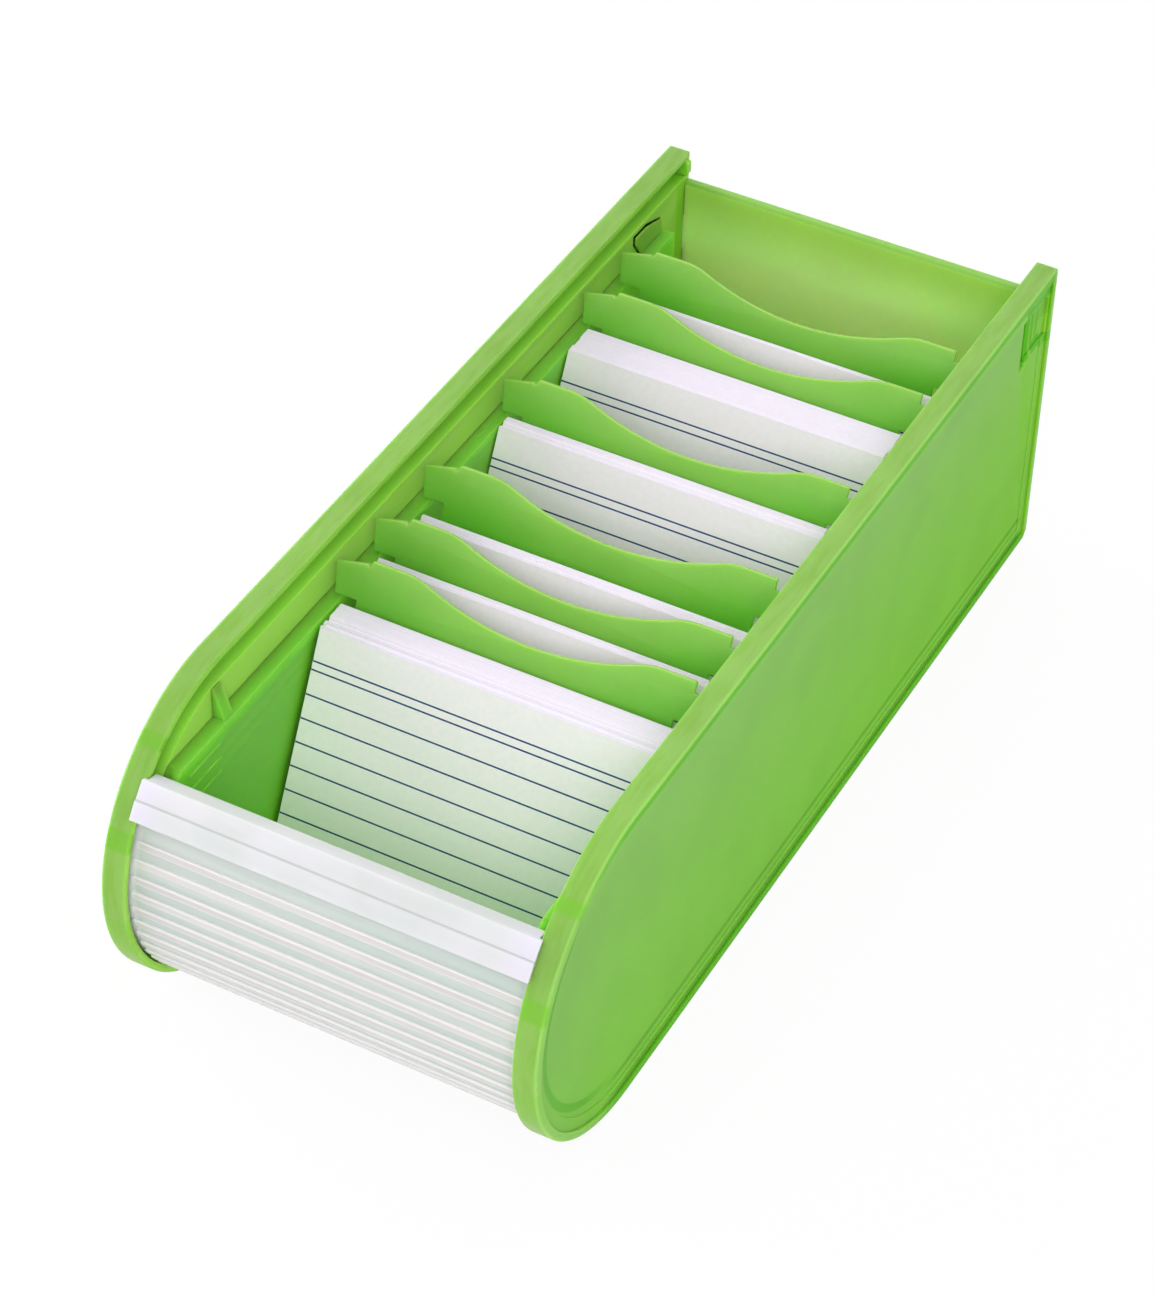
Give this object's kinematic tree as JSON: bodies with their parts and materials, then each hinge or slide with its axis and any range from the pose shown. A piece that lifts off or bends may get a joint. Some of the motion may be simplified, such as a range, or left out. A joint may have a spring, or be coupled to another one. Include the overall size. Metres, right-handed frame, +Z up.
{
  "type": "index card box",
  "caption": "Narrow box for small index cards, with D-shaped sides, a shutter that rolls in their grooves, a ledged card tray, leaning dividers and stacks of ruled cards.",
  "frame": {"origin": "middle of the box's outline, on the surface that it stands on", "axes": "+X to the right seen from the round front, +Y from the front to the rear, +Z up"},
  "size_m": [0.094, 0.23, 0.074],
  "materials": {
    "green_plastic": "frosted, slightly translucent",
    "milk_plastic": "milky, slightly translucent",
    "card": "uncoated card with blue lines"
  },
  "bodies": {
    "box": {"left_side_panel": "green_plastic", "right_side_panel": "green_plastic", "card_tray": "green_plastic", "back_panel": "green_plastic", "left_track_stop": "green_plastic", "right_track_stop": "green_plastic"},
    "shutter_front": {"shutter_handle": "milk_plastic", "shutter_curtain_front": "milk_plastic"},
    "shutter_slat_1": {"shutter_slat_1": "milk_plastic"},
    "shutter_slat_2": {"shutter_slat_2": "milk_plastic"},
    "shutter_slat_3": {"shutter_slat_3": "milk_plastic"},
    "shutter_slat_4": {"shutter_slat_4": "milk_plastic"},
    "shutter_slat_5": {"shutter_slat_5": "milk_plastic"},
    "shutter_slat_6": {"shutter_slat_6": "milk_plastic"},
    "shutter_slat_7": {"shutter_slat_7": "milk_plastic"},
    "shutter_floor": {"shutter_curtain_floor": "milk_plastic"},
    "divider_1": {"divider_1": "green_plastic"},
    "divider_2": {"divider_2": "green_plastic"},
    "divider_3": {"divider_3": "green_plastic"},
    "divider_4": {"divider_4": "green_plastic"},
    "divider_5": {"divider_5": "green_plastic"},
    "divider_6": {"divider_6": "green_plastic"},
    "card_stack_1": {"card_stack_1": "card"},
    "card_stack_2": {"card_stack_2": "card"},
    "card_stack_3": {"card_stack_3": "card"},
    "card_stack_4": {"card_stack_4": "card"},
    "card_stack_5": {"card_stack_5": "card"},
    "card_stack_6": {"card_stack_6": "card"}
  },
  "joints": [
    {"name": "shutter_roll", "type": "hinge", "parent": "box", "child": "shutter_front", "pos_m": [0, -0.078, 0.037], "axis": [-1, 0, 0], "range_deg": [0, 44]},
    {"name": "slat_1_roll", "type": "hinge", "parent": "box", "child": "shutter_slat_1", "pos_m": [0, -0.07697, 0.0398], "axis": [-1, 0, 0], "range_deg": [0, 40.55]},
    {"name": "slat_2_roll", "type": "hinge", "parent": "box", "child": "shutter_slat_2", "pos_m": [0, -0.07512, 0.04631], "axis": [-1, 0, 0], "range_deg": [0, 34.39]},
    {"name": "slat_3_roll", "type": "hinge", "parent": "box", "child": "shutter_slat_3", "pos_m": [0, -0.07328, 0.05578], "axis": [-1, 0, 0], "range_deg": [0, 28.24]},
    {"name": "slat_4_roll", "type": "hinge", "parent": "box", "child": "shutter_slat_4", "pos_m": [0, -0.07143, 0.07067], "axis": [-1, 0, 0], "range_deg": [0, 22.08]},
    {"name": "slat_5_roll", "type": "hinge", "parent": "box", "child": "shutter_slat_5", "pos_m": [0, -0.06959, 0.09715], "axis": [-1, 0, 0], "range_deg": [0, 15.93]},
    {"name": "slat_6_roll", "type": "hinge", "parent": "box", "child": "shutter_slat_6", "pos_m": [0, -0.06774, 0.15703], "axis": [-1, 0, 0], "range_deg": [0, 9.77]},
    {"name": "slat_7_roll", "type": "hinge", "parent": "box", "child": "shutter_slat_7", "pos_m": [0, -0.0659, 0.42042], "axis": [-1, 0, 0], "range_deg": [0, 3.62]},
    {"name": "shutter_floor_slide", "type": "slide", "parent": "box", "child": "shutter_floor", "axis": [0, -1, 0], "range_m": [0, 0.02639]},
    {"name": "divider_1_lift", "type": "slide", "parent": "box", "child": "divider_1", "axis": [0, 0.4399, 0.898], "range_m": [0, 0.06]},
    {"name": "divider_2_lift", "type": "slide", "parent": "box", "child": "divider_2", "axis": [0, 0.4399, 0.898], "range_m": [0, 0.06]},
    {"name": "divider_3_lift", "type": "slide", "parent": "box", "child": "divider_3", "axis": [0, 0.4399, 0.898], "range_m": [0, 0.06]},
    {"name": "divider_4_lift", "type": "slide", "parent": "box", "child": "divider_4", "axis": [0, 0.4399, 0.898], "range_m": [0, 0.06]},
    {"name": "divider_5_lift", "type": "slide", "parent": "box", "child": "divider_5", "axis": [0, 0.4399, 0.898], "range_m": [0, 0.06]},
    {"name": "divider_6_lift", "type": "slide", "parent": "box", "child": "divider_6", "axis": [0, 0.4399, 0.898], "range_m": [0, 0.06]},
    {"name": "card_stack_1_lift", "type": "slide", "parent": "box", "child": "card_stack_1", "axis": [0, 0.4399, 0.898], "range_m": [0, 0.06]},
    {"name": "card_stack_2_lift", "type": "slide", "parent": "box", "child": "card_stack_2", "axis": [0, 0.4399, 0.898], "range_m": [0, 0.06]},
    {"name": "card_stack_3_lift", "type": "slide", "parent": "box", "child": "card_stack_3", "axis": [0, 0.4399, 0.898], "range_m": [0, 0.06]},
    {"name": "card_stack_4_lift", "type": "slide", "parent": "box", "child": "card_stack_4", "axis": [0, 0.4399, 0.898], "range_m": [0, 0.06]},
    {"name": "card_stack_5_lift", "type": "slide", "parent": "box", "child": "card_stack_5", "axis": [0, 0.4399, 0.898], "range_m": [0, 0.06]},
    {"name": "card_stack_6_lift", "type": "slide", "parent": "box", "child": "card_stack_6", "axis": [0, 0.4399, 0.898], "range_m": [0, 0.06]}
  ],
  "couplings": [
    {"joint": "slat_1_roll", "follows": "shutter_roll", "ratio": 0.92153},
    {"joint": "slat_2_roll", "follows": "shutter_roll", "ratio": 0.78164},
    {"joint": "slat_3_roll", "follows": "shutter_roll", "ratio": 0.64175},
    {"joint": "slat_4_roll", "follows": "shutter_roll", "ratio": 0.50186},
    {"joint": "slat_5_roll", "follows": "shutter_roll", "ratio": 0.36197},
    {"joint": "slat_6_roll", "follows": "shutter_roll", "ratio": 0.22208},
    {"joint": "slat_7_roll", "follows": "shutter_roll", "ratio": 0.082195},
    {"joint": "shutter_floor_slide", "follows": "shutter_roll", "m_per_rad": 0.034349}
  ]
}
